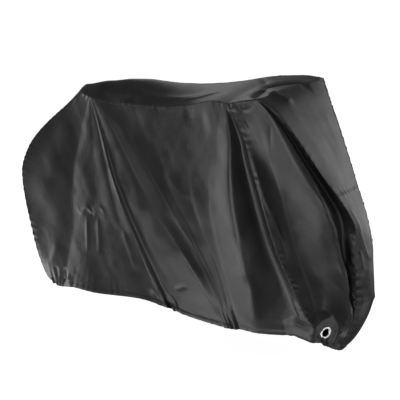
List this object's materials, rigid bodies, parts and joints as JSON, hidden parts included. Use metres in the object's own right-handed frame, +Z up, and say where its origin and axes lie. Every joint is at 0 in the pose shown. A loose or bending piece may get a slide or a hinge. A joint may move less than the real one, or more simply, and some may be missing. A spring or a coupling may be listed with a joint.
{
  "type": "bicycle cover",
  "caption": "Fitted bicycle cover of thin black coated nylon, hollow, shaped as it hangs over a parked bicycle, with a metal eyelet by the front hem.",
  "frame": {"origin": "middle of the bottom of the cover's own box, in the bicycle's middle plane; the ground under the bicycle is 64 mm lower", "axes": "+X along the bicycle towards its front wheel, +Y to the bicycle's left side, +Z up"},
  "size_m": [1.7637, 0.6191, 1.0297],
  "materials": {
    "side_cloth": "satin",
    "strip_cloth": "satin",
    "eyelet_metal": "polished"
  },
  "bodies": {
    "root": {"side_rear_right": "side_cloth", "side_front_right": "side_cloth", "side_rear_left": "side_cloth", "side_front_left": "side_cloth", "strip_crown": "strip_cloth", "strip_front": "strip_cloth", "strip_toe": "strip_cloth", "eyelet": "eyelet_metal"}
  },
  "joints": []
}
